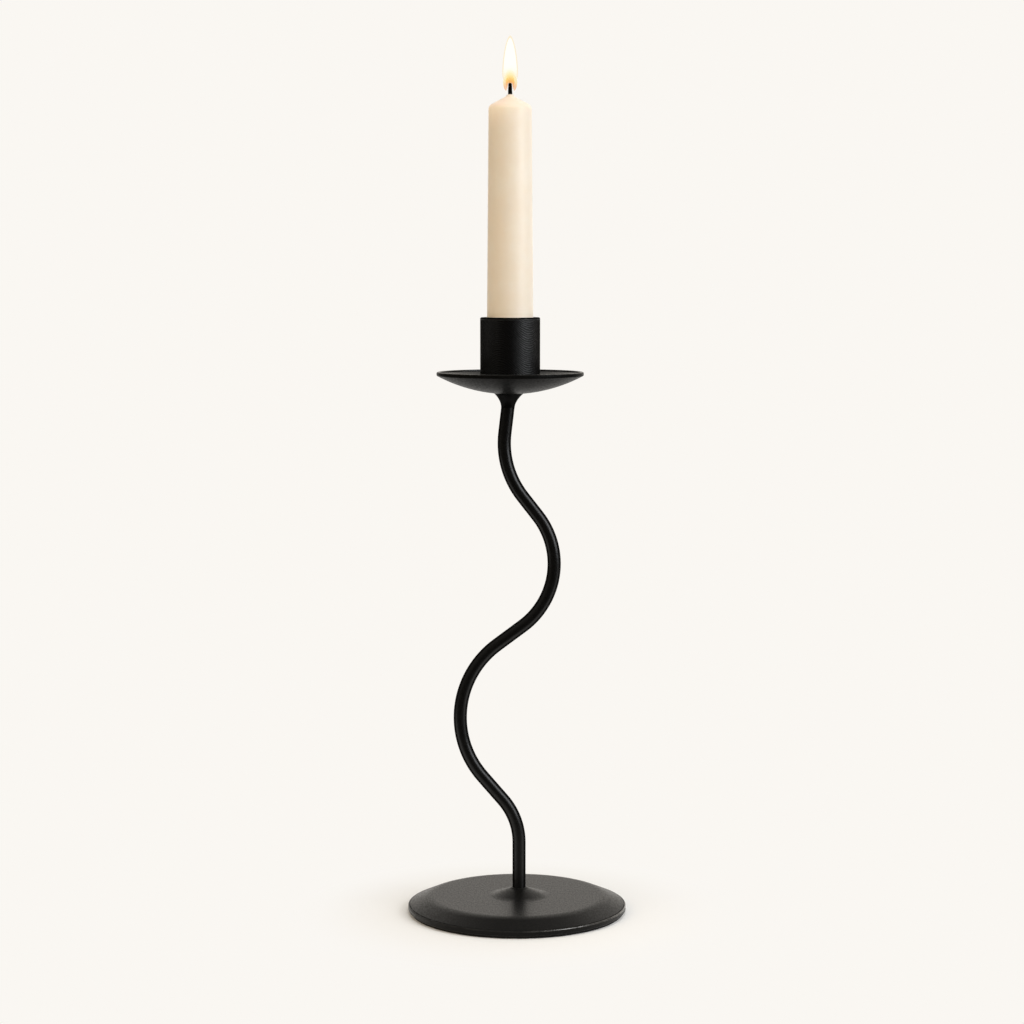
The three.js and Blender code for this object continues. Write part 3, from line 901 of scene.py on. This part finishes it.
def makeCandle(c):
    top = candleHigh.z
    shoulder = top - c["coneRise"]
    corners = [
        (c["wickHole"], candleLow.z),
        (c["foot"], candleLow.z, c["footRound"]),
        (c["shoulder"], shoulder, c["shoulderRound"]),
        (c["nub"], top - c["nubDrop"], c["nubRound"]),
        (c["lip"], top + c["lipRise"], c["lipRound"]),
        (c["wickHole"], top + c["holeRise"]),
    ]
    outline = softOutline(corners, holdEdge=c["holdEdge"])
    piece = turnPiece("taper_candle", outline, headX, c["segments"])
    # the burnt cone sags a little on its left
    spot = Vector((headX - c["sagPlace"], 0))
    dragSoft(piece, lambda co: co.z > shoulder and (co.xy - spot).length < c["sagSpot"],
             (0, 0, -c["sag"]), c["sagReach"])
    finishPiece(piece, "candle", ivoryWax, ["candle"], smoothAngle=50)


makeCandle(candle)


# Wick: three strands laid together, narrower where it has burnt

wick = {
    "radius": 1.13 * mm, "valley": 0.95, "valleyHalf": 0.13, "strands": 3, "tipScale": 0.8, "lay": 9 * mm,
    "burnt": 5.5 * mm, "tipRound": 0.95 * mm, "domeSteps": 6, "verts": 24, "cuts": 150,
}


def makeWickCord(w):
    deselectAll()
    bpy.ops.mesh.primitive_circle_add(vertices=w["verts"], radius=w["radius"], fill_type="NGON")
    piece = bpy.context.object
    rename(piece, "laid_wick")
    editAll(piece)

    def inValley(co):
        phase = (math.atan2(co.y, co.x) * w["strands"] / fullTurn) % 1.0
        return abs(phase - 0.5) < w["valleyHalf"]

    pickVerts(piece, inValley)
    bpy.ops.transform.resize(value=(w["valley"], w["valley"], 1), center_override=(0, 0, 0))
    bpy.ops.mesh.select_all(action="SELECT")
    length = wickHigh.z - wickLow.z - w["tipRound"]
    step = length / w["cuts"]
    shrink = w["tipScale"] ** (step / w["burnt"])
    for i in range(w["cuts"]):
        bpy.ops.mesh.extrude_region_move(TRANSFORM_OT_translate={"value": (0, 0, step)})
        if (i + 1) * step > length - w["burnt"]:
            bpy.ops.transform.resize(value=(shrink, shrink, 1), center_override=(0, 0, 0))
    quarter = math.pi / 2 / w["domeSteps"]
    for i in range(w["domeSteps"] - 1):
        rise = math.sin((i + 1) * quarter) - math.sin(i * quarter)
        drawn = math.cos((i + 1) * quarter) / math.cos(i * quarter)
        bpy.ops.mesh.extrude_region_move(TRANSFORM_OT_translate={"value": (0, 0, w["tipRound"] * rise)})
        bpy.ops.transform.resize(value=(drawn, drawn, 1), center_override=(0, 0, 0))
    cleanShell(piece)
    twist = piece.modifiers.new("lay", "SIMPLE_DEFORM")
    twist.deform_method = "TWIST"
    twist.deform_axis = "Z"
    twist.angle = fullTurn * length / w["lay"]
    applyModifier(piece, twist)
    editAll(piece)
    bpy.ops.transform.translate(value=(headX, 0, wickLow.z))
    objectMode()
    finishPiece(piece, "candle", charredCotton, ["wick"], smoothAngle=60)


makeWickCord(wick)


# Flame: a heart round the wick, a bright core and a thin veil

flame = {
    "bottom": wickHigh.z - 0.4 * mm, "tip": candleHigh.z + 27.6 * mm, "halfWidth": 3.7 * mm,
    "waist": 17.8 * mm, "coreInset": 0.55 * mm, "segments": 72,
    "heartTip": wickHigh.z + 7.4 * mm, "heartHalfWidth": 3.35 * mm, "heartWaist": 7.2 * mm,
    "heartFoot": wickHigh.z - 4.6 * mm, "nested": (1.0, 0.62), "nestDrop": 3 * mm,
    # heights over the wick's top, from and to
    "veilFade": (-0.5 * mm, 4 * mm), "coreWhite": (0, 7 * mm), "coreFade": (0.6 * mm, 10.5 * mm),
    "heartTint": (-1 * mm, 10.5 * mm), "legFoot": (-4.6 * mm, -3 * mm), "archFoot": (-0.6 * mm, 0.2 * mm),
    "veilAlpha": 0.3, "arch": 360.0, "archDepth": 0.2, "wickGap": 0.85 * mm, "splay": 58.0, "legAlpha": 0.42,
    "heartFade": 6 * mm, "dense": (1.2 * mm, 3.35 * mm),
    "tint": [(0.0, (0.93, 0.44, 0.15, 1)), (0.12, (0.93, 0.43, 0.13, 1)), (0.23, (0.96, 0.54, 0.14, 1)),
             (0.35, (1.0, 0.72, 0.2, 1)), (0.46, (1.0, 0.84, 0.33, 1)), (0.58, (1.0, 0.94, 0.58, 1)),
             (0.75, (1.0, 1.0, 0.9, 1))],
}


def flameOutline(bottom, tip, halfWidth, waistDrop, point=0.42, straight=0.5, flat=0.8):
    # one sweep from the bottom to the widest place and one on to the tip
    waist = Vector((halfWidth, tip - waistDrop))
    low = interpolate_bezier(Vector((0, bottom)), Vector((flat * halfWidth, bottom)),
                             Vector((halfWidth, bottom + 0.45 * (waist.y - bottom))), waist, 18)
    high = interpolate_bezier(waist, Vector((halfWidth, waist.y + straight * waistDrop)),
                              Vector((point * halfWidth, tip)), Vector((0, tip)), 36)
    return [tuple(place[:2]) for place in low + high[1:]]


def newFlameShader(name, strength):
    material, tree, shader = newMaterial(name, {
        "Base Color": (0, 0, 0, 1), "Roughness": 1.0, "Specular IOR Level": 0.0,
        "Emission Strength": strength})
    return material, tree, shader, splitPlace(tree, objectPlace(tree))


def overWick(tree, height, span, most=1.0, smooth=True):
    return mapRange(tree, height, wickHigh.z + span[0], wickHigh.z + span[1], 0.0, most, smooth)


def makeVeilGlow(f):
    # thin pale gas at the edge, gone at the foot
    material, tree, shader, place = newFlameShader("flameVeil", 1.0)
    shader.inputs["Emission Color"].default_value = (1.0, 0.80, 0.44, 1)
    tree.links.new(overWick(tree, place[2], f["veilFade"], f["veilAlpha"]), shader.inputs["Alpha"])
    return material


def makeCoreGlow(f):
    # white hot, thinning downwards to let the heart show
    material, tree, shader, place = newFlameShader("flameCore", 1.2)
    rise = overWick(tree, place[2], f["coreWhite"])
    tint = mixColor(tree, rise, (1.0, 0.94, 0.78, 1), (1, 1, 1, 1))
    tree.links.new(tint, shader.inputs["Emission Color"])
    tree.links.new(overWick(tree, place[2], f["coreFade"]), shader.inputs["Alpha"])
    return material


def makeHeartGlow(f):
    # orange in an arch over the wick, yellow then white further out, open in front of the wick
    material, tree, shader, (x, y, z) = newFlameShader("flameHeart", 1.0)
    across = math2(tree, "SUBTRACT", x, headX)
    sideways = math2(tree, "ADD", math2(tree, "MULTIPLY", across, across),
                     math2(tree, "MULTIPLY", math2(tree, "MULTIPLY", y, y), f["archDepth"]))
    arched = math2(tree, "ADD", z, math2(tree, "MULTIPLY", sideways, f["arch"]))
    tint = colourRamp(tree, overWick(tree, arched, f["heartTint"], smooth=False), f["tint"])
    tree.links.new(tint, shader.inputs["Emission Color"])
    # the legs splay away from the wick as they go down
    deep = math2(tree, "SUBTRACT", wickHigh.z, z)
    splay = math2(tree, "MULTIPLY", math2(tree, "MULTIPLY", deep, deep), f["splay"])
    aside = math2(tree, "SUBTRACT", math2(tree, "ABSOLUTE", across, 0.0), splay)
    besideX = mapRange(tree, aside, f["wickGap"], 1.5 * f["wickGap"])
    besideY = mapRange(tree, math2(tree, "ABSOLUTE", y, 0.0), 0.8 * f["wickGap"], 1.3 * f["wickGap"])
    legs = math2(tree, "MULTIPLY", math2(tree, "MULTIPLY", besideX, besideY), f["legAlpha"])
    foot = overWick(tree, z, f["legFoot"])
    over = overWick(tree, z, f["archFoot"])
    fade = mapRange(tree, z, f["heartTip"] - f["heartFade"], f["heartTip"], 1.0, 0.2)
    dense = mapRange(tree, hypot(tree, across, y), *f["dense"], 0.85, 0.35)
    low = math2(tree, "MULTIPLY", math2(tree, "MULTIPLY", legs, foot), math2(tree, "SUBTRACT", 1.0, over))
    high = math2(tree, "MULTIPLY", math2(tree, "MULTIPLY", over, fade), dense)
    tree.links.new(math2(tree, "ADD", low, high), shader.inputs["Alpha"])
    return material


def makeFlamePiece(name, outline, material):
    piece = turnPiece(name, outline, headX, flame["segments"])
    piece.visible_shadow = False
    finishPiece(piece, "candle", material, smoothAngle=80)


inset = flame["coreInset"]
veil = flameOutline(flame["bottom"], flame["tip"], flame["halfWidth"], flame["waist"])
makeFlamePiece("flame_veil", veil, makeVeilGlow(flame))
core = flameOutline(flame["bottom"] + inset, flame["tip"] - 2 * inset,
                    flame["halfWidth"] - inset, flame["waist"] - inset)
makeFlamePiece("flame_core", core, makeCoreGlow(flame))
heartGlow = makeHeartGlow(flame)
for i, share in enumerate(flame["nested"]):
    drop = (1 - share) * flame["nestDrop"]
    heart = flameOutline(flame["heartFoot"] + i * inset, flame["heartTip"] - drop,
                         share * flame["heartHalfWidth"], flame["heartWaist"] - drop,
                         point=0.15, straight=0.3)
    makeFlamePiece("flame_heart_" + str(i + 1), heart, heartGlow)


# Camera at the photograph's place

camera = {
    "place": (-2.4 * mm, -1181.9 * mm, 307.6 * mm), "pitch": math.radians(84.5),
    "lens": 87.61, "sensor": 36, "nearest": 0.05,
}


def makeCamera(c):
    deselectAll()
    bpy.ops.object.camera_add(location=c["place"], rotation=(c["pitch"], 0, 0))
    eye = bpy.context.object
    eye.name = "photoCamera"
    eye.data.lens = c["lens"]
    eye.data.sensor_width = c["sensor"]
    eye.data.clip_start = c["nearest"]
    bpy.context.scene.camera = eye


makeCamera(camera)
print("camera placed")


# Studio: a white sweep, one panel that the coat mirrors, pale walls that only gloss sees, a dim room

studio = {
    "white": (0.956, 0.930, 0.890, 1), "warm": (0.94, 0.89, 0.82, 1), "dim": (0.045, 0.044, 0.042, 1),
    "walls": (0.25, 0.243, 0.232, 1), "ceiling": (0.3, 0.29, 0.28, 1),
    # which way the sweep stands, then where each part of the room begins and where it is full
    "sweepWay": (0.2, 0.98, 0), "sweepEdge": (0.6, 0.88), "sweepTop": (0.85, 0.6), "wallsFrom": (0.06, 0.2),
    "ceilingFrom": (0.8, 0.95),
    "aim": (0, 0, 0.25), "floorHalfWidth": 1.4, "floorFront": -0.2, "floorBack": 2.6, "floorDrop": 0.02 * mm,
    "fadeFrom": 0.04, "fadeTo": 0.106,
    # name, place, size, power, colour, mirrored in the coat
    "panels": [
        ("sidePanel", (0.78, -0.42, 0.52), (0.5, 0.65), 5.6, (0.93, 0.965, 1.0), True),
        ("topPanel", (0.1, -0.1, 1.5), (1.1, 1.1), 9.35, (0.965, 0.98, 0.99), False),
        ("keyPanel", (0.5, -0.85, 0.75), (0.8, 0.8), 2.65, (0.985, 0.99, 1.0), False),
        ("fillPanel", (-0.9, -0.75, 0.55), (1.0, 1.0), 7.4, (1.0, 0.845, 0.61), False),
    ],
}


def makeWorld(s):
    world = bpy.data.worlds.new("studioAir")
    bpy.context.scene.world = world
    world.use_nodes = True
    tree = world.node_tree
    tree.nodes.clear()
    direction = tree.nodes.new("ShaderNodeTexCoord").outputs["Generated"]
    up = splitPlace(tree, direction)[2]
    level = vectorMath(tree, "NORMALIZE", vectorMath(tree, "MULTIPLY", direction, (1, 1, 0)), (0, 0, 0))
    back = vectorMath(tree, "DOT_PRODUCT", level, s["sweepWay"])
    behind = mapRange(tree, back, *s["sweepEdge"])
    low = mapRange(tree, up, *s["sweepTop"])
    path = tree.nodes.new("ShaderNodeLightPath")
    mirrored = math2(tree, "MULTIPLY", path.outputs["Is Glossy Ray"], mapRange(tree, up, *s["wallsFrom"]))
    walls = mixColor(tree, mirrored, s["dim"], s["walls"])
    sweep = mixColor(tree, math2(tree, "MULTIPLY", behind, low), walls, s["warm"])
    room = mixColor(tree, mapRange(tree, up, *s["ceilingFrom"]), sweep, s["ceiling"])
    straight = math2(tree, "MAXIMUM", path.outputs["Is Camera Ray"], path.outputs["Is Transmission Ray"])
    seen = mixColor(tree, straight, room, s["white"])
    light = tree.nodes.new("ShaderNodeBackground")
    out = tree.nodes.new("ShaderNodeOutputWorld")
    tree.links.new(seen, light.inputs["Color"])
    tree.links.new(light.outputs["Background"], out.inputs["Surface"])


def makeFloor(s):
    # lit and shadowed near the object, one with the backdrop further out, clear from below
    deselectAll()
    bpy.ops.mesh.primitive_plane_add(size=1, location=(0, 0, 0))
    floor = bpy.context.object
    rename(floor, "paleFloor")
    editAll(floor)
    bpy.ops.transform.resize(value=(2 * s["floorHalfWidth"], s["floorBack"] - s["floorFront"], 1))
    bpy.ops.transform.translate(value=(0, (s["floorBack"] + s["floorFront"]) / 2, -s["floorDrop"]))
    objectMode()
    material = bpy.data.materials.new("paleSweep")
    material.use_nodes = True
    tree = material.node_tree
    tree.nodes.clear()
    far = vectorMath(tree, "LENGTH", objectPlace(tree), (0, 0, 0))
    near = tree.nodes.new("ShaderNodeBsdfDiffuse")
    near.inputs["Color"].default_value = s["white"]
    sweep = tree.nodes.new("ShaderNodeEmission")
    sweep.inputs["Color"].default_value = s["white"]
    mix = tree.nodes.new("ShaderNodeMixShader")
    tree.links.new(mapRange(tree, far, s["fadeFrom"], s["fadeTo"]), mix.inputs["Fac"])
    tree.links.new(near.outputs["BSDF"], mix.inputs[1])
    tree.links.new(sweep.outputs["Emission"], mix.inputs[2])
    clear = tree.nodes.new("ShaderNodeBsdfTransparent")
    sides = tree.nodes.new("ShaderNodeMixShader")
    tree.links.new(tree.nodes.new("ShaderNodeNewGeometry").outputs["Backfacing"], sides.inputs["Fac"])
    tree.links.new(mix.outputs["Shader"], sides.inputs[1])
    tree.links.new(clear.outputs["BSDF"], sides.inputs[2])
    out = tree.nodes.new("ShaderNodeOutputMaterial")
    tree.links.new(sides.outputs["Shader"], out.inputs["Surface"])
    floor.data.materials.append(material)


def makeSoftbox(name, place, size, power, colour, mirrored):
    deselectAll()
    bpy.ops.object.light_add(type="AREA", location=place)
    box = bpy.context.object
    box.name = name
    box.data.shape = "RECTANGLE"
    box.data.size, box.data.size_y = size
    box.data.energy = power
    box.data.color = colour
    box.rotation_euler = (Vector(studio["aim"]) - Vector(place)).to_track_quat("-Z", "Y").to_euler()
    box.visible_camera = False
    box.visible_glossy = mirrored


makeWorld(studio)
makeFloor(studio)
for panel in studio["panels"]:
    makeSoftbox(*panel)
bpy.context.scene.view_settings.view_transform = "Standard"
print("studio set")
